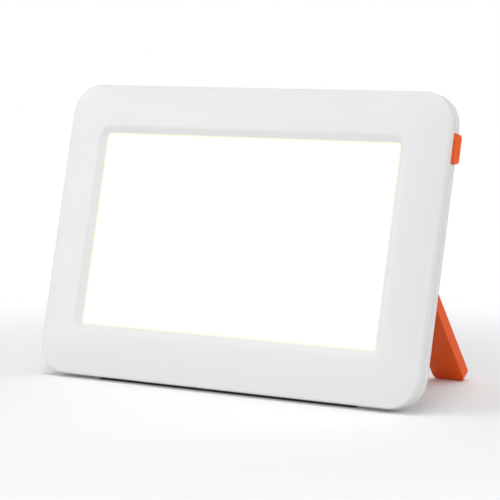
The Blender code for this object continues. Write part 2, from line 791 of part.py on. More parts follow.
def add_driver_board():
    """Circuit board with a notch for the inlet jack, and the parts that stand on its back."""
    outline = ((board_left, board_front, board_low), (board_right, board_back, board_top))
    board = add_piece("driver_board", boxes("driver_board", [outline]), circuit_board, case)
    reach = jack_width / 2 + clearance
    notch = (
        (board_left - overrun, board_front - overrun, jack_rise - reach),
        (jack_end + clearance, board_back + overrun, jack_rise + reach),
    )
    shape(board, "DIFFERENCE", boxes("jack_notch", [notch]))
    hole = board_shank_radius + clearance
    holes = [(x, rise, hole, board_front - overrun, board_back + overrun) for x, rise in board_post_spots]
    shape(board, "DIFFERENCE", rods("driver_board_holes", holes, screw_segments))

    seat = board_back + clearance
    rise = board_low + board_height * part_drop_share
    x = board_left + board_length * inductor_place_share
    core = inductor_core_radius
    bobbin = [
        (0, inductor_height), (inductor_radius, inductor_height),
        (inductor_radius, inductor_height - inductor_flange), (core, inductor_height - inductor_flange),
        (core, inductor_flange), (inductor_radius, inductor_flange), (inductor_radius, 0), (0, 0),
    ]
    add_turned("inductor", bobbin, ferrite, case, (x, seat, rise), towards_back)
    x = board_left + board_length * capacitor_place_share
    can = cross_rod("capacitor", capacitor_radius, -capacitor_length / 2, capacitor_length / 2)
    add_piece("capacitor", can, sheet_aluminium, case, (x, seat + capacitor_radius, rise))
    x = board_left + board_length * chip_place_share
    half = Vector((chip_width, chip_thickness, chip_height)) / 2
    chip = boxes("driver_chip", [(-half, half)])
    add_piece("driver_chip", chip, black_plastic, case, (x, seat + chip_thickness / 2, rise))

    half = Vector((connector_length, connector_height, connector_width)) / 2
    depth = board_front - clearance - connector_height / 2
    for end, rise in connector_rises.items():
        name = "lead_connector_" + end
        add_piece(name, boxes(name, [(-half, half)]), white_film, case, (connector_x, depth, rise))


def add_inlet():
    """Jack in the notch of the driver board, with soldering lugs and a centre pin."""
    half = Vector((0, jack_height / 2, jack_width / 2))
    body = boxes("dc_jack", [(Vector((jack_mouth, 0, 0)) - half, Vector((jack_end, 0, 0)) + half)])
    jack = add_piece("dc_jack", body, black_plastic, case, (0, jack_depth, jack_rise))
    back = board_front - clearance - jack_depth
    front = back - jack_lug_thickness
    right = jack_end - overrun
    left = right - jack_lug_length
    lugs = []
    for sign in (-1, 1):
        inner = sign * (jack_width / 2 - fusion)
        low, high = sorted((inner, sign * (jack_width / 2 + jack_lug_reach)))
        lugs.append(((left, front, low), (right, back, high)))
    shape(jack, "UNION", boxes("jack_lugs", lugs), (0, jack_depth, jack_rise))
    bore = cross_rod("jack_bore", jack_bore_radius, jack_mouth - overrun, jack_mouth + jack_bore_length)
    shape(jack, "DIFFERENCE", bore, (0, jack_depth, jack_rise))
    root = jack_mouth + jack_bore_length - clearance
    pin = cross_rod("dc_jack_pin", jack_pin_radius, root - jack_pin_length, root, screw_segments)
    add_piece("dc_jack_pin", pin, brass, case, (0, jack_depth, jack_rise))


def add_leads():
    """Leads to the two LED boards, and one along the back of the tray to the switch board."""
    connector_face = board_front - 2 * clearance - connector_height
    depth = (guide_front + guide_back) / 2
    board_middle = (led_board_low + led_board_high) / 2
    board_end = -guide_half_width + overrun - clearance
    top = connector_rises["top"]
    rise = window_rise + board_middle
    add_lead("led_lead_top", [
        (connector_x, connector_face, top),
        (connector_x, connector_face - lead_radius, top),
        (connector_x + 2 * lead_radius, depth, (top + rise) / 2),
        (board_end - 2 * lead_radius, depth, rise),
        (board_end, depth, rise),
    ], black_plastic)
    bottom = connector_rises["bottom"]
    x = -tray_half_width - lead_side_gap - lead_radius
    rise = window_rise - board_middle
    add_lead("led_lead_bottom", [
        (connector_x, connector_face, bottom),
        (connector_x, connector_face - lead_radius, bottom),
        (x, depth, bottom - lead_bend),
        (x, depth, 0),
        (x, depth, rise + lead_bend),
        (board_end - 2 * lead_radius, depth, rise),
        (board_end, depth, rise),
    ], black_plastic)
    depth = (board_front + board_back) / 2
    left = board_right + clearance
    right = switch_board_left - clearance
    rise = button_rise
    above_boss = hinge_rise + well_radius + well_wall + lead_boss_gap
    add_lead("switch_lead", [
        (left, depth, rise),
        (left + 2 * lead_radius, depth, rise),
        (stand_x, depth, above_boss),
        (right - 2 * lead_radius, depth, rise),
        (right, depth, rise),
    ], black_plastic)


def add_switch():
    """Tact switch on its own small board, which two pegs of the rear cover hold."""
    half = switch_board_length / 2
    plate = (
        (switch_board_left, board_front, button_rise - half),
        (switch_board_right, board_back, button_rise + half),
    )
    board = add_piece("switch_board", boxes("switch_board", [plate]), circuit_board, case)
    hole = peg_radius + clearance
    holes = [(x, rise, hole, board_front - overrun, board_back + overrun) for x, rise in peg_spots]
    shape(board, "DIFFERENCE", rods("peg_holes", holes, screw_segments))
    half = switch_width / 2
    block = (
        (switch_left, switch_front, button_rise - half),
        (switch_right, switch_front + switch_height, button_rise + half),
    )
    switch = add_piece("tact_switch", boxes("tact_switch", [block]), black_plastic, case)
    radius = stem_radius + clearance
    left = switch_left + switch_wall
    bore = cross_rod("stem_bore", radius, left, switch_right + overrun, screw_segments)
    shape(switch, "DIFFERENCE", bore, (0, switch_depth, button_rise))


def add_button():
    """Orange button through the side wall, its flange, its plunger and the switch's stem."""
    half = button_length / 2
    radius = button_corner_radius
    outline = [(cover_rim, half), (cover_rim, -half)]
    back = cover_rim + button_depth - radius
    outline += arc(back, radius - half, radius, -quarter_turn, 0, edge_steps)
    outline += arc(back, half - radius, radius, 0, quarter_turn, edge_steps)
    travel = add_empty("button_axis", case, (button_face, 0, button_rise), (0, 0, 0))
    cap = extruded("power_button", outline, flange_face - fusion - button_face, 0, "x")
    button = add_piece("power_button", cap, orange_plastic, travel)
    low = (flange_back - button_face, flange_centre_depth - flange_depth / 2, -flange_half_length)
    high = (flange_face - button_face, flange_centre_depth + flange_depth / 2, flange_half_length)
    plate = (low, high)
    shape(button, "UNION", boxes("button_flange", [plate]))
    root = flange_back + fusion - button_face
    plunger = cross_rod("button_plunger", plunger_radius, plunger_tip - button_face, root)
    shape(button, "UNION", plunger, (0, switch_depth, 0))
    left = switch_left + switch_wall + button_travel + clearance - button_face
    stem = cross_rod("switch_stem", stem_radius, left, stem_tip - button_face, screw_segments)
    add_piece("switch_stem", stem, white_film, travel, (0, switch_depth, 0))


def add_foot_strip():
    """Rubber strip in the rear cover's lower edge, its sole level with the floor."""
    outline = rounded_outline(strip_length / 2, strip_width / 2, strip_width / 2)
    strip = extruded("foot_strip", outline, 0, strip_thickness, "z")
    add_piece("foot_strip", strip, dark_rubber, ground)


def add_turntable(swivel):
    """Disc in the back of the case, with a hub through the wall and a knuckle for the leg."""
    under = -disc_thickness
    hub_end = under - clearance - well_floor_thickness
    groove_end = hub_end - groove_length
    tip = groove_end - hub_tip_length
    profile = [
        (0, 0), (disc_radius - disc_edge, 0), (disc_radius, -disc_edge), (disc_radius, under),
        (hub_radius, under), (hub_radius, hub_end), (groove_radius, hub_end), (groove_radius, groove_end),
        (hub_radius, groove_end), (hub_radius, tip), (0, tip),
    ]
    segments = 2 * round_segments
    disc = add_turned(
        "stand_turntable", profile, orange_plastic, swivel, rotation=towards_back, segments=segments
    )
    axis_height = hinge_depth - back_depth
    ear = [(-fusion, leg_half), (-fusion, -leg_half)]
    ear += arc(axis_height, 0, leg_half, -quarter_turn, quarter_turn, 2 * edge_steps)
    knuckle = extruded("knuckle", ear, -knuckle_width / 2, knuckle_width / 2, "x")
    shape(disc, "UNION", knuckle)
    bore = cross_rod("knuckle_bore", pin_radius + clearance, -knuckle_width, knuckle_width)
    shape(disc, "DIFFERENCE", bore, (0, axis_height, 0))

    outer = asin(clip_slot / 2 / clip_radius)
    inner = asin(clip_slot / 2 / (groove_radius + clearance))
    steps = 2 * corner_steps
    bow = arc(0, 0, clip_radius, outer, 2 * pi - outer, steps)
    bow += arc(0, 0, groove_radius + clearance, 2 * pi - inner, inner, steps)
    back = hub_end - clearance
    clip = extruded("retaining_clip", bow, back - clip_thickness, back, "z")
    add_piece("retaining_clip", clip, steel, swivel, rotation=towards_back)

    inner = knuckle_width / 2 + clearance
    for side, sign in (("left", -1), ("right", 1)):
        low, high = sorted((sign * inner, sign * (inner + washer_thickness)))
        name = "friction_washer_" + side
        plate = cross_rod(name, washer_radius, low, high)
        washer = add_piece(name, plate, steel, swivel, (0, axis_height, 0))
        bore = cross_rod(name + "_bore", pin_radius + clearance, low - clearance, high + clearance)
        shape(washer, "DIFFERENCE", bore, (0, axis_height, 0))


def add_leg(hinge):
    """Orange leg with a fork round the knuckle, a heel that stops on the disc and a flat sole."""
    half = leg_width / 2
    radius = leg_corner_radius
    top = leg_half * sin(leg_opening) + heel_length * cos(leg_opening)
    plate = arc(radius - half, radius - leg_length, radius, -2 * quarter_turn, -quarter_turn, corner_steps)
    plate += arc(half - radius, radius - leg_length, radius, -quarter_turn, 0, corner_steps)
    radius = leg_top_radius
    plate += arc(half - radius, top - radius, radius, 0, quarter_turn, edge_steps)
    plate += arc(radius - half, top - radius, radius, quarter_turn, 2 * quarter_turn, edge_steps)
    flat = extruded("stand_leg", plate, -leg_thickness, leg_thickness, "y")
    leg = add_piece("stand_leg", flat, orange_plastic, hinge)

    side = arc(0, 0, leg_half, 2 * quarter_turn, 2 * quarter_turn - leg_opening, 2 * edge_steps)
    stop_y, stop_z = side[-1]
    side += [
        (stop_y + heel_length * sin(leg_opening), top), (leg_half, top), (leg_half, -leg_length),
        (leg_sole * cos(leg_slope) - leg_half, -leg_length), (-leg_half, -leg_front_length),
    ]
    shape(leg, "INTERSECT", extruded("leg_side", side, -leg_width, leg_width, "x"))
    slot = ((-fork_half, -leg_thickness, -fork_depth), (fork_half, leg_thickness, top + overrun))
    shape(leg, "DIFFERENCE", boxes("fork_slot", [slot]))
    shape(leg, "DIFFERENCE", cross_rod("leg_bore", pin_radius + clearance, -leg_width, leg_width))
    pin = cross_rod("hinge_pin", pin_radius, clearance - half, half - clearance)
    add_piece("hinge_pin", pin, steel, hinge)


for old in list(bpy.data.objects):
    bpy.data.objects.remove(old)
pieces = bpy.data.collections.new("light_therapy_lamp")
cutters = bpy.data.collections.new("cutters")
for group in (pieces, cutters):
    bpy.context.scene.collection.children.link(group)

white_shell = finish("white_shell", (0.86, 0.86, 0.87), 0.4)
opal_acrylic = finish("opal_acrylic", (0.97, 0.95, 0.9), 0.35)
clear_acrylic = finish("clear_acrylic", (0.9, 0.93, 0.95), 0.1)
white_film = finish("white_film", (0.92, 0.92, 0.9), 0.5)
sheet_aluminium = finish("sheet_aluminium", (0.7, 0.71, 0.72), 0.35, 1.0)
circuit_board = finish("circuit_board", (0.05, 0.3, 0.12), 0.5)
black_plastic = finish("black_plastic", (0.03, 0.03, 0.03), 0.5)
ferrite = finish("ferrite", (0.08, 0.08, 0.09), 0.7)
brass = finish("brass", (0.8, 0.6, 0.25), 0.3, 1.0)
steel = finish("steel", (0.6, 0.6, 0.62), 0.3, 1.0)
dark_rubber = finish("dark_rubber", (0.04, 0.04, 0.04), 0.8)
orange_plastic = finish("orange_plastic", (0.85, 0.15, 0.02), 0.45)

ground = add_empty("ground", None, (0, 0, 0), (0, 0, 0))
case = add_empty("case_frame", None, (0, case_y, case_z), (-case_lean, 0, 0))
stand_swivel = add_empty("stand_swivel", case, (stand_x, back_depth, hinge_rise), (0, 0, 0))
stand_fold = add_empty("stand_fold", stand_swivel, (0, hinge_depth - back_depth, 0), (leg_opening, 0, 0))

add_front_bezel()
add_rear_cover()
add_optical_stack()
add_led_board("led_board_top", 1)
add_led_board("led_board_bottom", -1)
add_driver_board()
add_inlet()
add_leads()
add_switch()
add_button()
add_foot_strip()
add_turntable(stand_swivel)
add_leg(stand_fold)

case_screw = screw_mesh(
    "case_screw", case_shank_radius, case_head_seat + clearance - case_thread_end, case_head_radius,
    case_head_height, steel,
)
add_screws("case_screw", case_screw, case_screw_spots, case_head_seat + clearance, towards_back)
tray_screw = screw_mesh(
    "tray_screw", case_shank_radius, tray_back + clearance - tray_thread_end, tray_head_radius,
    tray_head_height, steel,
)
add_screws("tray_screw", tray_screw, tray_screw_spots, tray_back + clearance, towards_back)
board_screw = screw_mesh(
    "board_screw", board_shank_radius, board_thickness + board_thread_length, board_head_radius,
    board_head_height, steel,
)
add_screws("board_screw", board_screw, board_post_spots, board_front - clearance, (quarter_turn, 0, 0))
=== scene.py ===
"""Light therapy lamp: the looks of its case, screen, button and folding leg.

Metres, +Z up, in the frame of the solids. The case leans back, so its pieces are drawn in a frame of
their own, as seen from the front: x to the right, y from the front face towards the back (called depth),
z up along the case from its middle (called rise).
"""

import json
from math import cos, pi, radians, sin

import bmesh
import bpy
from mathutils import Matrix, Vector


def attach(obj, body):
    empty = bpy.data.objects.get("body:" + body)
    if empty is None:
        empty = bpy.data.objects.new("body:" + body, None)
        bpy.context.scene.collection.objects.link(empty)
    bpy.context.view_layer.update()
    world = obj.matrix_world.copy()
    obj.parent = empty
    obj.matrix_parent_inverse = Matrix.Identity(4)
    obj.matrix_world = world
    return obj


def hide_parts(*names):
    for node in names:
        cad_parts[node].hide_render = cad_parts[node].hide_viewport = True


mm = 0.001

# Camera, from the photograph's perspective, for a picture of 500 x 500
camera_place = Vector((0.67085, -0.93705, 0.18694))
camera_target = Vector((0.011554, 0.006214, 0.072964))
focal_pixels = 2285.3
picture_pixels = 500
sensor_width = 36
view_reach = 50

# Case, as in the solids
case_width = 235 * mm
case_height = 156 * mm
corner_radius = 16.5 * mm
case_lean = radians(13.27)
case_origin = Vector((0, 7.589978, 78.798915)) * mm
front_radius = 1 * mm
crown_depth = 2.1 * mm
crown_segments = 8
back_depth = 14.8 * mm
back_radius = 5.5 * mm
bezel_rim = 6.85 * mm
cover_rim = 7.15 * mm
bezel_wall = 2 * mm
face_thickness = 1.9 * mm
window_width = 183.1 * mm
window_height = 103.3 * mm
window_rise = 0.5 * mm
window_radius = 2.7 * mm
bevel_width = 3.3 * mm
bevel_depth = 1.7 * mm
level_inset = 15 * mm
window_softness = 0.8 * mm
rim_softness = 0.2 * mm

# Inside of the rear cover
floor_depth = 13 * mm
floor_chamfer = 1.5 * mm
tongue_outer = 2.3 * mm
tongue_inner = 3.5 * mm
tongue_tip = 5.4 * mm

# Raised housing on the back
pod_width = 109.81 * mm
pod_height = 23 * mm
pod_x = -39.695 * mm
pod_rise = 53.95 * mm
pod_depth = 21.5 * mm
pod_wall = 1.6 * mm
pod_radius = 6 * mm
pod_edge = 2 * mm
pod_fillet = 1 * mm
pod_foot = 1.5 * mm

# Screws that hold the cover, in their wells
corner_screw = Vector((107, 65)) * mm
side_screw_x = 108 * mm
post_radius = 4 * mm
post_front = 9.3 * mm
screw_hole = 1.5 * mm
well_radius = 2.9 * mm
well_seat = 11.3 * mm
well_lip = 0.3 * mm

# Turntable of the stand, in its round well
stand_x = 73.5 * mm
hinge_rise = 27.45 * mm
disc_radius = 13 * mm
disc_thickness = 1.7 * mm
disc_edge = 0.5 * mm
disc_gap = 0.3 * mm
swivel_floor = 12.8 * mm
swivel_boss_front = 11.3 * mm
swivel_wall = 2 * mm
hub_radius = 3.5 * mm
hub_hole = 3.8 * mm
groove_radius = 2.6 * mm
hub_end = 3.5 * mm
groove_end = 4.7 * mm
hub_tip = 5.2 * mm

# Leg and its hinge
hinge_depth = 18.35 * mm
leg_opening = radians(49.07)
leg_slope = radians(35.8)
leg_width = 18.7 * mm
leg_thickness = 6.5 * mm
leg_front_length = 122.55855 * mm
leg_sole = 2 * mm
leg_corner = 4.25 * mm
leg_top_corner = 2 * mm
leg_edge = 0.45 * mm
heel_length = 5 * mm
knuckle_width = 9.5 * mm
knuckle_edge = 0.4 * mm
fork_half = 6.15 * mm
fork_depth = 5.413 * mm
fork_edge = 1 * mm
bore_radius = 1.55 * mm

# Button and the openings for it and for the inlet
button_rise = 51 * mm
button_length = 14.6 * mm
button_depth = 4.7 * mm
button_face = 119.3 * mm
button_root = 113.04 * mm
button_corner = 2 * mm
button_edge = 0.55 * mm
flange_face = 113.7 * mm
flange_thickness = 1.2 * mm
flange_half = 9.3 * mm
flange_depth = 3.9 * mm
plunger_radius = 1.1 * mm
plunger_tip = 108.2 * mm
plunger_depth = 9.4 * mm
notch_gap = 0.3 * mm
jack_hole = 2.4 * mm
jack_depth = 9.9 * mm
jack_rise = 51.75 * mm

# Rubber strip under the case
strip_length = 160 * mm
strip_width = 5 * mm
strip_gap = 0.3 * mm
strip_pocket = 1.5 * mm

# Fineness
corner_segments = 20
edge_segments = 8
back_segments = 12
soft_segments = 3
round_segments = 64
sharp_angle = radians(32)
overrun = 1 * mm
joint = 0.5 * mm
merge_distance = 0.001 * mm
bridge_lift = 50 * mm
quarter_turn = pi / 2

# The crown is drawn past the rounding to where its slope meets the case's side
crown_run = (case_width - window_width) / 2 - bevel_width
crown_start = (1 + front_radius / crown_run) ** 2

case_frame = Matrix.Translation(case_origin) @ Matrix.Rotation(-case_lean, 4, "X")
hinge_frame = (
    case_frame
    @ Matrix.Translation((stand_x, hinge_depth, hinge_rise))
    @ Matrix.Rotation(leg_opening, 4, "X")
)


def across(depth, x=0.0, rise=0.0):
    """Place of a flat outline that lies across the depth."""
    return Matrix.Translation((x, depth, rise)) @ Matrix.Rotation(quarter_turn, 4, "X")


def outline(bm, width, height, radius, place, segments, keep=False):
    """A rectangle with round corners: its loop of edges, and its face too where it closes the end."""
    known = set(bm.faces)
    corners = bmesh.ops.create_grid(bm, x_segments=1, y_segments=1, size=0.5)["verts"]
    stretch = Matrix.Diagonal((width, height, 1, 1))
    bmesh.ops.transform(bm, matrix=place @ stretch, verts=corners)
    bmesh.ops.bevel(
        bm, geom=corners, offset=radius, offset_type="OFFSET", segments=segments, profile=0.5,
        affect="VERTICES", material=-1, clamp_overlap=False,
    )
    face = next(face for face in bm.faces if face not in known)
    loop = list(face.edges)
    if not keep:
        bmesh.ops.delete(bm, geom=[face], context="FACES_ONLY")
    return loop


def case_loop(bm, inset, depth, keep=False):
    """The case's outline, drawn in by an inset."""
    width = case_width - 2 * inset
    height = case_height - 2 * inset
    return outline(bm, width, height, corner_radius - inset, across(depth), corner_segments, keep)


def window_loop(bm, margin, depth):
    """The window's outline, drawn out by a margin."""
    place = across(depth, rise=window_rise)
    width = window_width + 2 * margin
    height = window_height + 2 * margin
    return outline(bm, width, height, window_radius + margin, place, corner_segments)


def crown_loop(bm, share):
    """The gently rising face between the case's edge and the window's bevel, at a share of its way in."""
    width = blend(case_width, window_width + 2 * bevel_width, share)
    height = blend(case_height, window_height + 2 * bevel_width, share)
    radius = blend(corner_radius, window_radius + bevel_width, share)
    place = across(crown_depth * crown_start * (1 - share) ** 2, rise=window_rise * share)
    return outline(bm, width, height, radius, place, corner_segments)


def blend(first, second, share):
    """A value between two others."""
    return first + share * (second - first)


def pod_loop(bm, inset, depth, keep=False):
    """The raised housing's outline, drawn in by an inset."""
    place = across(depth, pod_x, pod_rise)
    width = pod_width - 2 * inset
    height = pod_height - 2 * inset
    return outline(bm, width, height, pod_radius - inset, place, corner_segments, keep)


def skin(bm, loops):
    """Bridge each loop to the next, lifted apart meanwhile so that level loops don't twist."""
    lift = Vector((0, bridge_lift, 0))
    for near, far in zip(loops, loops[1:]):
        moved = list({vert for edge in far for vert in edge.verts})
        bmesh.ops.translate(bm, verts=moved, vec=lift)
        bmesh.ops.bridge_loops(bm, edges=near + far)
        bmesh.ops.translate(bm, verts=moved, vec=-lift)
    bmesh.ops.recalc_face_normals(bm, faces=bm.faces)


def rounded(bm, edges, radius, segments):
    """Round a run of edges."""
    bmesh.ops.bevel(
        bm, geom=edges, offset=radius, offset_type="OFFSET", segments=segments, profile=0.5,
        affect="EDGES", material=-1, clamp_overlap=False,
    )


def lathe(bm, profile, place, segments=round_segments):
    """A profile of (radius, height) turned about the z axis of its place, each end on the axis."""
    points = [bm.verts.new((radius, 0, height)) for radius, height in profile]
    edges = [bm.edges.new(pair) for pair in zip(points, points[1:])]
    known = set(bm.verts) - set(points)
    bmesh.ops.spin(
        bm, geom=points + edges, cent=(0, 0, 0), axis=(0, 0, 1), dvec=(0, 0, 0), angle=2 * pi,
        steps=segments, use_merge=True, use_duplicate=False,
    )
    made = [vert for vert in bm.verts if vert not in known]
    bmesh.ops.remove_doubles(bm, verts=made, dist=merge_distance)
    made = [vert for vert in bm.verts if vert not in known]
    bmesh.ops.transform(bm, matrix=place, verts=made)


def block(bm, low, high):
    """A box between two corners."""
    low = Vector(low)
    high = Vector(high)
    place = Matrix.Translation((low + high) / 2) @ Matrix.Diagonal((*(high - low), 1))
    return bmesh.ops.create_cube(bm, size=1, matrix=place)["verts"]


def between(verts):
    """The edges among some vertices."""
    inside = set(verts)
    return list({edge for vert in verts for edge in vert.link_edges if set(edge.verts) <= inside})


def to_object(name, bm, place):
    """Close the shape, put it in its place and make it an object."""
    bmesh.ops.remove_doubles(bm, verts=bm.verts, dist=merge_distance)
    bmesh.ops.transform(bm, matrix=place, verts=bm.verts)
    bmesh.ops.recalc_face_normals(bm, faces=bm.faces)
    mesh = bpy.data.meshes.new(name)
    bm.to_mesh(mesh)
    bm.free()
    piece = bpy.data.objects.new(name, mesh)
    bpy.context.scene.collection.objects.link(piece)
    return piece


def joined(piece, steps):
    """The piece after a list of joins and cuts, each a helper object that is then removed."""
    for helper, operation in steps:
        modifier = piece.modifiers.new(helper.name, "BOOLEAN")
        modifier.object = helper
        modifier.operation = operation
        modifier.solver = "MANIFOLD"
    bpy.context.view_layer.update()
    graph = bpy.context.evaluated_depsgraph_get()
    mesh = bpy.data.meshes.new_from_object(piece.evaluated_get(graph))
    piece.modifiers.clear()
    piece.data = mesh
    for helper, operation in steps:
        bpy.data.objects.remove(helper)
    return piece


def dressed(piece, body, slot, *nodes):
    """Smooth the piece, give it its material, attach it to the body it rides on and hide the solids' nodes
    it stands for.
    """
    piece.data.shade_smooth()
    piece.data.set_sharp_from_angle(angle=sharp_angle)
    evened = piece.modifiers.new("evened_normals", "WEIGHTED_NORMAL")
    evened.keep_sharp = True
    piece.data.materials.clear()
    piece.data.materials.append(finishes[slot])
    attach(piece, body)
    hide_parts(*nodes)
    return piece


def screw_spots():
    """Where the six screws of the case stand."""
    spots = [(side * corner_screw.x, end * corner_screw.y) for side in (-1, 1) for end in (-1, 1)]
    return spots + [(side * side_screw_x, 0) for side in (-1, 1)]


def front_bezel():
    """White frame: side wall, rounded front edge, crowned face and a sloped recess round the window."""
    bm = bmesh.new()
    rim = case_loop(bm, 0, bezel_rim)
    crown = [crown_loop(bm, step / crown_segments) for step in range(crown_segments + 1)]
    front = crown[0]
    window = crown[-1]
    loops = [
        rim, *crown,
        window_loop(bm, 0, bevel_depth),
        window_loop(bm, 0, face_thickness),
        case_loop(bm, level_inset, face_thickness),
        case_loop(bm, bezel_wall, face_thickness + crown_depth),
        case_loop(bm, bezel_wall, bezel_rim),
        rim,
    ]
    skin(bm, loops)
    rounded(bm, rim, rim_softness, soft_segments)
    rounded(bm, front, front_radius, edge_segments)
    rounded(bm, window, window_softness, soft_segments)
    return to_object("front_bezel_shell", bm, case_frame)


def cover_shell():
    """White back shell with its tongue."""
    bm = bmesh.new()
    rim = case_loop(bm, 0, cover_rim)
    back = case_loop(bm, 0, back_depth, keep=True)
    loops = [
        case_loop(bm, tongue_inner + floor_chamfer, floor_depth, keep=True),
        case_loop(bm, tongue_inner, floor_depth - floor_chamfer),
        case_loop(bm, tongue_inner, tongue_tip),
        case_loop(bm, tongue_outer, tongue_tip),
        case_loop(bm, tongue_outer, cover_rim),
        rim, back,
    ]
    skin(bm, loops)
    rounded(bm, rim, rim_softness, soft_segments)
    rounded(bm, back, back_radius, back_segments)
    return to_object("rear_cover_shell", bm, case_frame)


def pod_shell():
    """Raised housing on the back: a round foot, upright sides and a soft top edge."""
    bm = bmesh.new()
    foot = pod_loop(bm, 0, back_depth)
    top = pod_loop(bm, 0, pod_depth, keep=True)
    loops = [
        pod_loop(bm, -pod_foot, floor_depth + joint, keep=True),
        pod_loop(bm, -pod_foot, back_depth),
        foot, top,
    ]
    skin(bm, loops)
    rounded(bm, foot, pod_fillet, edge_segments)
    rounded(bm, top, pod_edge, edge_segments)
    return to_object("pod_shell", bm, case_frame)


def pod_cavity():
    """Room for the driver board's tall parts, open to the case."""
    bm = bmesh.new()
    loops = [
        pod_loop(bm, pod_wall, floor_depth - overrun, keep=True),
        pod_loop(bm, pod_wall, pod_depth - pod_wall, keep=True),
    ]
    skin(bm, loops)
    return to_object("pod_cavity", bm, case_frame)


def cover_posts():
    """Posts round the screws and the boss round the turntable's well."""
    bm = bmesh.new()
    back = floor_depth + joint
    for x, rise in screw_spots():
        profile = [(0, post_front), (post_radius, post_front), (post_radius, back), (0, back)]
        lathe(bm, profile, case_axis(x, rise))
    radius = disc_radius + disc_gap + swivel_wall
    profile = [(0, swivel_boss_front), (radius, swivel_boss_front), (radius, back), (0, back)]
    lathe(bm, profile, case_axis(stand_x, hinge_rise))
    return to_object("cover_posts", bm, case_frame)


def case_axis(x, rise):
    """Place of a turned shape whose height runs along the depth."""
    return Matrix.Translation((x, 0, rise)) @ Matrix.Rotation(-quarter_turn, 4, "X")


def cover_cuts():
    """Wells of the screws and of the turntable, with softened mouths, and the three other openings."""
    bm = bmesh.new()
    outside = back_depth + overrun
    for x, rise in screw_spots():
        profile = [
            (0, post_front - overrun), (screw_hole, post_front - overrun), (screw_hole, well_seat),
            (well_radius, well_seat), (well_radius, back_depth - well_lip),
            (well_radius + well_lip, back_depth), (well_radius + well_lip, outside), (0, outside),
        ]
        lathe(bm, profile, case_axis(x, rise))
    radius = disc_radius + disc_gap
    profile = [
        (0, swivel_boss_front - overrun), (hub_hole, swivel_boss_front - overrun), (hub_hole, swivel_floor),
        (radius, swivel_floor), (radius, back_depth - well_lip), (radius + well_lip, back_depth),
        (radius + well_lip, outside), (0, outside),
    ]
    lathe(bm, profile, case_axis(stand_x, hinge_rise))
    reach = button_length / 2 + notch_gap
    wall = case_width / 2
    low = (wall - tongue_inner - overrun, tongue_tip - overrun, button_rise - reach)
    high = (wall + overrun, cover_rim + button_depth + notch_gap, button_rise + reach)
    block(bm, low, high)
    hole_in = tongue_inner + overrun - wall
    hole_out = -wall - overrun
    profile = [(0, hole_out), (jack_hole + well_lip + overrun, hole_out), (jack_hole, well_lip - wall),
               (jack_hole, hole_in), (0, hole_in)]
    inlet = Matrix.Translation((0, jack_depth, jack_rise)) @ Matrix.Rotation(quarter_turn, 4, "Y")
    lathe(bm, profile, inlet)
    return to_object("cover_cuts", bm, case_frame)


def strip_groove():
    """Pocket for the rubber strip, level with the floor."""
    bm = bmesh.new()
    half_length = strip_length / 2 + strip_gap
    half_width = strip_width / 2 + strip_gap
    block(bm, (-half_length, -half_width, -overrun), (half_length, half_width, strip_pocket))
    return to_object("strip_groove", bm, Matrix.Identity(4))


def rear_cover():
    """The back shell with its posts, wells and openings."""
    steps = [
        (cover_posts(), "UNION"), (pod_shell(), "UNION"), (pod_cavity(), "DIFFERENCE"),
        (cover_cuts(), "DIFFERENCE"), (strip_groove(), "DIFFERENCE"),
    ]
    return joined(cover_shell(), steps)


def power_button():
    """Orange cap with two round corners at its back, a flange inside the wall and a plunger."""
    bm = bmesh.new()
    low = (button_root, cover_rim, button_rise - button_length / 2)
    high = (button_face, cover_rim + button_depth, button_rise + button_length / 2)
    cap = block(bm, low, high)
    ends = [edge for edge in between(cap) if is_back_end(edge)]
    rounded(bm, ends, button_corner, edge_segments)
    reach = button_face - merge_distance
    outer = [edge for edge in bm.edges if all(vert.co.x > reach for vert in edge.verts)]
    rounded(bm, outer, button_edge, soft_segments)
    cap = to_object("power_button_cap", bm, case_frame)
    bm = bmesh.new()
    middle = cover_rim + button_depth / 2
    low = (flange_face - flange_thickness, middle - flange_depth / 2, button_rise - flange_half)
    high = (flange_face, middle + flange_depth / 2, button_rise + flange_half)
    block(bm, low, high)
    flange = to_object("button_flange", bm, case_frame)
    bm = bmesh.new()
    root = flange_face - flange_thickness + joint
    profile = [(0, plunger_tip), (plunger_radius, plunger_tip), (plunger_radius, root), (0, root)]
    place = Matrix.Translation((0, plunger_depth, button_rise)) @ Matrix.Rotation(quarter_turn, 4, "Y")
    lathe(bm, profile, place)
    plunger = to_object("button_plunger", bm, case_frame)
    return joined(cap, [(flange, "UNION"), (plunger, "UNION")])


def is_back_end(edge):
    """Whether an edge of the button's cap runs along x at its back."""
    ends = [vert.co for vert in edge.verts]
    along = abs(ends[0].x - ends[1].x) > joint
    return along and all(end.y > cover_rim + joint for end in ends)


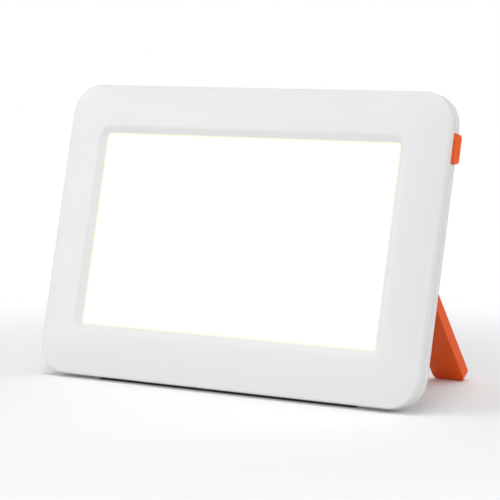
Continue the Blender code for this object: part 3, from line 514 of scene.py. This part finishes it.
def stand_leg():
    """Orange leg: a flat bar with round lower corners, a flat sole, a heel and a fork for the knuckle."""
    half = leg_thickness / 2
    length = leg_front_length + leg_sole * sin(leg_slope)
    top = half * sin(leg_opening) + heel_length * cos(leg_opening)
    bm = bmesh.new()
    bar = block(bm, (-leg_width / 2, -half, -length), (leg_width / 2, half, top))
    upright = [edge for edge in between(bar) if abs(edge.verts[0].co.y - edge.verts[1].co.y) > joint]
    lower = [edge for edge in upright if edge.verts[0].co.z < 0]
    upper = [edge for edge in upright if edge.verts[0].co.z > 0]
    rounded(bm, lower, leg_corner, 2 * edge_segments)
    rounded(bm, upper, leg_top_corner, edge_segments)
    sole = Vector((0, -half, -leg_front_length))
    trimmed(bm, sole, Vector((0, -sin(leg_slope), -cos(leg_slope))))
    stop = Vector((0, -half * cos(leg_opening), half * sin(leg_opening)))
    trimmed(bm, stop, Vector((0, -cos(leg_opening), sin(leg_opening))))
    edges = [edge for edge in bm.edges if edge.calc_face_angle(0) > sharp_angle]
    rounded(bm, edges, leg_edge, soft_segments)
    leg = to_object("stand_leg_bar", bm, hinge_frame)

    bm = bmesh.new()
    slot = block(bm, (-fork_half, -leg_thickness, -fork_depth), (fork_half, leg_thickness, top + overrun))
    bottom = [edge for edge in between(slot) if all(vert.co.z < 0 for vert in edge.verts)
              and abs(edge.verts[0].co.y - edge.verts[1].co.y) > joint]
    rounded(bm, bottom, fork_edge, soft_segments)
    fork = to_object("fork_slot", bm, hinge_frame)
    bm = bmesh.new()
    lathe(bm, rod_profile(bore_radius, leg_width), Matrix.Rotation(quarter_turn, 4, "Y"))
    bore = to_object("leg_bore", bm, hinge_frame)
    return joined(leg, [(fork, "DIFFERENCE"), (bore, "DIFFERENCE")])


def rod_profile(radius, length):
    """Profile of a plain rod, centred."""
    half = length / 2
    return [(0, -half - overrun), (radius, -half - overrun), (radius, half + overrun), (0, half + overrun)]


def trimmed(bm, point, normal):
    """Cut off what lies past a plane and close the cut."""
    everything = bm.verts[:] + bm.edges[:] + bm.faces[:]
    cut = bmesh.ops.bisect_plane(
        bm, geom=everything, dist=merge_distance, plane_co=point, plane_no=normal, clear_outer=True,
    )["geom_cut"]
    bmesh.ops.edgeloop_fill(bm, edges=[item for item in cut if isinstance(item, bmesh.types.BMEdge)])


def stand_turntable():
    """Orange disc in the back of the case, its hub and the knuckle that the leg turns on."""
    bm = bmesh.new()
    corner = disc_radius - disc_edge
    profile = [(0, 0), (corner, 0)]
    for step in range(1, soft_segments + 1):
        angle = quarter_turn * step / soft_segments
        profile.append((corner + disc_edge * sin(angle), disc_edge * (cos(angle) - 1)))
    profile += [
        (disc_radius, -disc_thickness), (hub_radius, -disc_thickness), (hub_radius, -hub_end),
        (groove_radius, -hub_end), (groove_radius, -groove_end), (hub_radius, -groove_end),
        (hub_radius, -hub_tip), (0, -hub_tip),
    ]
    place = Matrix.Translation((0, back_depth, 0)) @ case_axis(stand_x, hinge_rise)
    lathe(bm, profile, place)
    disc = to_object("stand_turntable_disc", bm, case_frame)

    bm = bmesh.new()
    half = leg_thickness / 2
    low = (stand_x - knuckle_width / 2, back_depth - joint, hinge_rise - half)
    high = (stand_x + knuckle_width / 2, hinge_depth + half, hinge_rise + half)
    ear = block(bm, low, high)
    crown = [edge for edge in between(ear) if all(vert.co.y > hinge_depth for vert in edge.verts)
             and abs(edge.verts[0].co.x - edge.verts[1].co.x) > joint]
    rounded(bm, crown, half - merge_distance, 2 * edge_segments)
    rounded(bm, [edge for edge in bm.edges if is_knuckle_rim(edge)], knuckle_edge, soft_segments)
    knuckle = to_object("knuckle", bm, case_frame)
    bm = bmesh.new()
    lathe(bm, rod_profile(bore_radius, knuckle_width), Matrix.Rotation(quarter_turn, 4, "Y"))
    bore = to_object("knuckle_bore", bm, hinge_frame)
    return joined(disc, [(knuckle, "UNION"), (bore, "DIFFERENCE")])


def is_knuckle_rim(edge):
    """Whether an edge lies round one of the knuckle's flat sides."""
    ends = [vert.co for vert in edge.verts]
    level = abs(ends[0].x - ends[1].x) < merge_distance
    clear = all(end.y > back_depth for end in ends) or max(end.y for end in ends) > hinge_depth - joint
    return level and clear


def socket_group(name, inputs, outputs):
    """An empty shader node group with named inputs and outputs."""
    group = bpy.data.node_groups.new(name, "ShaderNodeTree")
    for label, kind, value in inputs:
        socket = group.interface.new_socket(label, in_out="INPUT", socket_type=kind)
        if value is not None:
            socket.default_value = value
    for label, kind in outputs:
        group.interface.new_socket(label, in_out="OUTPUT", socket_type=kind)
    return group


def node(tree, kind, values=None):
    """A shader node with some of its sockets filled."""
    made = tree.nodes.new("ShaderNode" + kind)
    for key, value in (values or {}).items():
        made.inputs[key].default_value = value
    return made


def fed(tree, socket, value):
    """Fill a socket with another node's output or with a plain value."""
    if isinstance(value, bpy.types.NodeSocket):
        tree.links.new(value, socket)
    else:
        socket.default_value = value


def maths(tree, operation, first, second=0.0):
    """One sum, of outputs or plain numbers."""
    made = tree.nodes.new("ShaderNodeMath")
    made.operation = operation
    fed(tree, made.inputs[0], first)
    fed(tree, made.inputs[1], second)
    return made.outputs[0]


def noise(tree, vector, scale, detail=2.0, roughness=0.5):
    """A noise pattern read at a vector."""
    made = node(tree, "TexNoise", {"Detail": detail, "Roughness": roughness})
    tree.links.new(vector, made.inputs["Vector"])
    fed(tree, made.inputs["Scale"], scale)
    return made.outputs["Fac"]


def ranged(tree, value, start, end, low, high, smooth=False):
    """A value stretched from one span to another."""
    made = node(tree, "MapRange", {"From Min": start, "From Max": end, "To Min": low, "To Max": high})
    if smooth:
        made.interpolation_type = "SMOOTHSTEP"
    tree.links.new(value, made.inputs["Value"])
    return made.outputs["Result"]


def blended(tree, factor, first, second):
    """Two colours mixed by a factor."""
    mix = tree.nodes.new("ShaderNodeMix")
    mix.data_type = "RGBA"
    tree.links.new(factor, mix.inputs["Factor"])
    for socket, colour in ((mix.inputs[6], first), (mix.inputs[7], second)):
        fed(tree, socket, (*colour, 1) if isinstance(colour, tuple) else colour)
    return mix.outputs[2]


def bumped(tree, height, strength, distance, shader):
    """A bump from a height into a shader's normal."""
    bump = node(tree, "Bump", {"Strength": strength, "Distance": distance})
    tree.links.new(height, bump.inputs["Height"])
    tree.links.new(bump.outputs["Normal"], shader.inputs["Normal"])


def moulded_grain():
    """Fine spark-eroded grain of a moulded face, the slow drift of its tone and its changing sheen."""
    group = socket_group(
        "moulded_grain",
        [("Vector", "NodeSocketVector", None), ("Grain size", "NodeSocketFloat", 0.35 * mm),
         ("Drift size", "NodeSocketFloat", 40 * mm)],
        [("Height", "NodeSocketFloat"), ("Drift", "NodeSocketFloat"), ("Sheen", "NodeSocketFloat")],
    )
    start = group.nodes.new("NodeGroupInput").outputs
    end = group.nodes.new("NodeGroupOutput").inputs
    fine = maths(group, "DIVIDE", 1.0, start["Grain size"])
    slow = maths(group, "DIVIDE", 1.0, start["Drift size"])
    group.links.new(noise(group, start["Vector"], fine, 3, 0.6), end["Height"])
    group.links.new(noise(group, start["Vector"], slow, 1, 0.4), end["Drift"])
    patches = maths(group, "MULTIPLY", slow, sheen_fineness)
    group.links.new(noise(group, start["Vector"], patches), end["Sheen"])
    return group


def rolled_lines():
    """Fine lines that rolling or drawing leaves in metal, along x, and the slow drift of its tone."""
    group = socket_group(
        "rolled_lines",
        [("Vector", "NodeSocketVector", None), ("Line size", "NodeSocketFloat", 0.1 * mm)],
        [("Height", "NodeSocketFloat"), ("Drift", "NodeSocketFloat")],
    )
    start = group.nodes.new("NodeGroupInput").outputs
    end = group.nodes.new("NodeGroupOutput").inputs
    drawn = node(group, "Mapping", {"Scale": (line_stretch, 1, 1)})
    group.links.new(start["Vector"], drawn.inputs["Vector"])
    fine = maths(group, "DIVIDE", 1.0, start["Line size"])
    group.links.new(noise(group, drawn.outputs["Vector"], fine, 2, 0.6), end["Height"])
    group.links.new(noise(group, start["Vector"], maths(group, "DIVIDE", fine, drift_lines)), end["Drift"])
    return group


def new_material(name, roughness, metallic=0.0, gloss=0.5):
    """A material with its shader and the place on the object."""
    material = bpy.data.materials.new(name)
    material.use_nodes = True
    tree = material.node_tree
    shader = tree.nodes["Principled BSDF"]
    shader.inputs["Roughness"].default_value = roughness
    shader.inputs["Metallic"].default_value = metallic
    shader.inputs["Specular IOR Level"].default_value = gloss
    place = tree.nodes.new("ShaderNodeTexCoord").outputs["Object"]
    return material, tree, shader, place


def read_group(tree, group, place, label, size):
    """A node group read at the place on the object, with its size of grain or of lines."""
    made = tree.nodes.new("ShaderNodeGroup")
    made.node_tree = group
    tree.links.new(place, made.inputs["Vector"])
    made.inputs[label].default_value = size
    return made.outputs


def plastic(name, first, second, rough, grain_size, strength, gloss=0.5):
    """Moulded material with a fine grain, a slight drift of tone and a changing sheen."""
    material, tree, shader, place = new_material(name, rough[0], gloss=gloss)
    grain = read_group(tree, groups["moulded_grain"], place, "Grain size", grain_size)
    fed(tree, shader.inputs["Base Color"], blended(tree, grain["Drift"], first, second))
    fed(tree, shader.inputs["Roughness"], ranged(tree, grain["Sheen"], *noise_span, *rough))
    bumped(tree, grain["Height"], strength, grain_depth, shader)
    return material


def metal(name, first, second, rough, line_size, strength):
    """Metal with fine drawn lines and a slight drift of tone."""
    material, tree, shader, place = new_material(name, rough[0], 1.0)
    lines = read_group(tree, groups["rolled_lines"], place, "Line size", line_size)
    fed(tree, shader.inputs["Base Color"], blended(tree, lines["Drift"], first, second))
    fed(tree, shader.inputs["Roughness"], ranged(tree, lines["Height"], *noise_span, *rough))
    bumped(tree, lines["Height"], strength, grain_depth, shader)
    return material


def circuit_board():
    """Green varnish over the copper tracks of a board."""
    material, tree, shader, place = new_material("circuit_board", 0.35)
    bands = node(tree, "TexWave", {
        "Scale": 1 / track_pitch, "Distortion": track_bend, "Detail": 1.0, "Detail Scale": track_bend_scale,
    })
    bands.bands_direction = "DIAGONAL"
    tree.links.new(place, bands.inputs["Vector"])
    tracks = ranged(tree, bands.outputs["Fac"], *track_edge, 0, 1)
    fed(tree, shader.inputs["Base Color"], blended(tree, tracks, (0.015, 0.16, 0.05), (0.03, 0.27, 0.09)))
    grain = read_group(tree, groups["moulded_grain"], place, "Grain size", 1.5 * mm)
    fed(tree, shader.inputs["Roughness"], ranged(tree, grain["Sheen"], *noise_span, *varnish_roughness))
    bumped(tree, tracks, 0.3, grain_depth, shader)
    shader.inputs["Coat Weight"].default_value = 0.3
    return material


def clear_acrylic():
    """Clear sheet with the white dots that spread the light."""
    material, tree, shader, place = new_material("clear_acrylic", 0.05)
    cells = node(tree, "TexVoronoi", {"Scale": 1 / dot_pitch, "Randomness": 0.0})
    tree.links.new(place, cells.inputs["Vector"])
    dots = ranged(tree, cells.outputs["Distance"], *dot_edge, 1, 0)
    fed(tree, shader.inputs["Base Color"], blended(tree, dots, (0.93, 0.97, 0.98), (0.95, 0.95, 0.94)))
    fed(tree, shader.inputs["Roughness"], ranged(tree, dots, 0, 1, 0.05, 0.6))
    shader.inputs["Transmission Weight"].default_value = 0.9
    shader.inputs["IOR"].default_value = acrylic_bend
    return material


def lit_screen():
    """Opal sheet lit from behind, a little warmer and dimmer along its edges."""
    material, tree, shader, place = new_material("lit_screen", 0.35)
    flat = node(tree, "Mapping", {"Location": case_origin, "Rotation": (-case_lean, 0, 0)})
    flat.vector_type = "TEXTURE"
    tree.links.new(place, flat.inputs["Vector"])
    parts = node(tree, "SeparateXYZ")
    tree.links.new(flat.outputs["Vector"], parts.inputs["Vector"])
    gaps = []
    for axis, middle, half in (("X", 0, window_width / 2), ("Z", window_rise, window_height / 2)):
        offset = maths(tree, "ABSOLUTE", maths(tree, "SUBTRACT", parts.outputs[axis], middle))
        gaps.append(maths(tree, "SUBTRACT", half, offset))
    nearest = maths(tree, "MINIMUM", *gaps)
    middle = ranged(tree, nearest, 0, screen_fade, 0, 1, smooth=True)
    rim = ranged(tree, nearest, 0, screen_rim, 0, 1, smooth=True)
    inside = blended(tree, middle, screen_outer, screen_middle)
    fed(tree, shader.inputs["Emission Color"], blended(tree, rim, screen_edge, inside))
    grain = read_group(tree, groups["moulded_grain"], place, "Grain size", 0.2 * mm)
    fed(tree, shader.inputs["Roughness"], ranged(tree, grain["Sheen"], *noise_span, *screen_roughness))
    shader.inputs["Emission Strength"].default_value = screen_strength
    shader.inputs["Base Color"].default_value = (0.1, 0.1, 0.1, 1)
    return material


# Looks
noise_span = (0.3, 0.7)
sheen_fineness = 3.0
grain_depth = 0.05 * mm
line_stretch = 0.03
drift_lines = 80.0
track_pitch = 3 * mm
track_bend = 6.0
track_bend_scale = 0.4
track_edge = (0.55, 0.65)
varnish_roughness = (0.28, 0.4)
dot_pitch = 2 * mm
dot_edge = (0.26, 0.32)
acrylic_bend = 1.49
screen_edge = (0.9, 0.8, 0.62)
screen_outer = (0.985, 0.955, 0.87)
screen_middle = (0.985, 0.98, 0.955)
screen_fade = 12 * mm
screen_rim = 1.2 * mm
screen_strength = 0.97
screen_roughness = (0.4, 0.5)

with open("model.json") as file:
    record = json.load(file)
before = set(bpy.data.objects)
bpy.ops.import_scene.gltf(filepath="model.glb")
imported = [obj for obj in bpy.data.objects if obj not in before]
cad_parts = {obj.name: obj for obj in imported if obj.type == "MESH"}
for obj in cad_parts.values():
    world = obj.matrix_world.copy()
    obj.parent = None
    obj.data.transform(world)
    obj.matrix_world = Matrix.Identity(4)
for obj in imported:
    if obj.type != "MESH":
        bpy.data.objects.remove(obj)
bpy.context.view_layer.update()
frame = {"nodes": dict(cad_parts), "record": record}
groups = {"moulded_grain": moulded_grain(), "rolled_lines": rolled_lines()}
finishes = {
    "white_shell": plastic(
        "white_shell", (0.8, 0.8, 0.8), (0.82, 0.82, 0.82), (0.36, 0.44), 0.35 * mm, 0.08),
    "orange_plastic": plastic(
        "orange_plastic", (0.86, 0.1, 0.006), (0.9, 0.115, 0.008), (0.38, 0.48), 0.4 * mm, 0.1, 0.3),
    "lit_screen": lit_screen(),
    "opal_film": plastic("opal_film", (0.9, 0.9, 0.88), (0.93, 0.93, 0.91), (0.5, 0.6), 0.1 * mm, 0.1),
    "clear_acrylic": clear_acrylic(),
    "white_film": plastic("white_film", (0.86, 0.86, 0.84), (0.9, 0.9, 0.88), (0.45, 0.6), 0.3 * mm, 0.1),
    "sheet_aluminium": metal(
        "sheet_aluminium", (0.68, 0.69, 0.7), (0.76, 0.77, 0.78), (0.25, 0.4), 0.15 * mm, 0.2),
    "circuit_board": circuit_board(),
    "black_plastic": plastic(
        "black_plastic", (0.02, 0.02, 0.02), (0.035, 0.035, 0.035), (0.4, 0.55), 0.3 * mm, 0.15),
    "ferrite": plastic("ferrite", (0.05, 0.05, 0.055), (0.09, 0.09, 0.1), (0.55, 0.7), 0.15 * mm, 0.3),
    "brass": metal("brass", (0.72, 0.53, 0.2), (0.82, 0.63, 0.28), (0.2, 0.35), 0.08 * mm, 0.15),
    "steel": metal("steel", (0.56, 0.56, 0.58), (0.66, 0.66, 0.68), (0.25, 0.4), 0.08 * mm, 0.2),
    "dark_rubber": plastic(
        "dark_rubber", (0.025, 0.025, 0.025), (0.05, 0.05, 0.05), (0.75, 0.9), 0.5 * mm, 0.35),
}

for name, piece in frame["nodes"].items():
    part = next(part for part in frame["record"]["subparts"] if part["node"] == name)
    for place in piece.material_slots:
        place.material = finishes[part["material_slot"]]

dressed(front_bezel(), "case", "white_shell", "front_bezel")
dressed(rear_cover(), "case", "white_shell", "rear_cover")
dressed(power_button(), "button", "orange_plastic", "power_button")
dressed(stand_leg(), "leg", "orange_plastic", "stand_leg")
dressed(stand_turntable(), "turntable", "orange_plastic", "stand_turntable")


def add_camera():
    """Camera at the photograph's place."""
    data = bpy.data.cameras.new("camera")
    data.sensor_width = sensor_width
    data.lens = data.sensor_width * focal_pixels / picture_pixels
    data.clip_end = view_reach
    camera = bpy.data.objects.new("camera", data)
    camera.location = camera_place
    camera.rotation_euler = (camera_target - camera_place).to_track_quat("-Z", "Y").to_euler()
    bpy.context.scene.collection.objects.link(camera)
    bpy.context.scene.camera = camera


def add_light(name, direction, size, power):
    """A soft square lamp that faces the case from a direction."""
    data = bpy.data.lights.new(name, "AREA")
    data.shape = "SQUARE"
    data.size = size
    data.energy = power
    lamp = bpy.data.objects.new(name, data)
    away = Vector(direction).normalized()
    lamp.location = light_target + light_distance * away
    lamp.rotation_euler = (-away).to_track_quat("-Z", "Y").to_euler()
    bpy.context.scene.collection.objects.link(lamp)


def add_world():
    """White surroundings: full white to the eye, plainer as light."""
    world = bpy.data.worlds.new("studio")
    bpy.context.scene.world = world
    world.use_nodes = True
    tree = world.node_tree
    background = tree.nodes["Background"]
    background.inputs["Color"].default_value = (1, 1, 1, 1)
    rays = node(tree, "LightPath").outputs
    seen = maths(tree, "MAXIMUM", rays["Is Camera Ray"], rays["Is Transmission Ray"])
    fed(tree, background.inputs["Strength"], ranged(tree, seen, 0, 1, world_light, 1))


def add_floor():
    """Wide white floor that keeps the lamp's shadow and turns plain white away from it."""
    bm = bmesh.new()
    bmesh.ops.create_grid(bm, x_segments=1, y_segments=1, size=floor_size / 2)
    mesh = bpy.data.meshes.new("floor")
    bm.to_mesh(mesh)
    bm.free()
    floor = bpy.data.objects.new("floor", mesh)
    bpy.context.scene.collection.objects.link(floor)
    material, tree, shader, place = new_material("floor", 0.9, gloss=0)
    seen = node(tree, "LightPath").outputs["Is Camera Ray"]
    reach = node(tree, "VectorMath")
    reach.operation = "LENGTH"
    tree.links.new(place, reach.inputs[0])
    fade = ranged(tree, reach.outputs["Value"], *floor_fade, 0, 1, smooth=True)
    near = blended(tree, seen, floor_bounce, floor_seen)
    plain = maths(tree, "MULTIPLY", seen, fade)
    fed(tree, shader.inputs["Base Color"], blended(tree, plain, near, (0.0, 0.0, 0.0)))
    shader.inputs["Emission Color"].default_value = (1, 1, 1, 1)
    fed(tree, shader.inputs["Emission Strength"], plain)
    mesh.materials.append(material)


# Stage
world_light = 0.267
floor_size = 12
floor_bounce = (0.8, 0.8, 0.8)
floor_seen = (0.95, 0.95, 0.95)
floor_fade = (0.16, 0.42)
light_target = Vector((0, 0, 80)) * mm
light_distance = 1.7
lights = (
    ("key", (-0.75, -0.6, 0.3), 0.9, 7.5),
    ("front", (0.4, -0.85, 0.35), 0.9, 8.6),
    ("side", (0.85, 0.5, 0.25), 0.9, 8.7),
    ("top", (0, -0.1, 1), 1.2, 13.9),
)
add_camera()
add_world()
add_floor()
for light in lights:
    add_light(*light)
bpy.context.scene.view_settings.view_transform = "Standard"
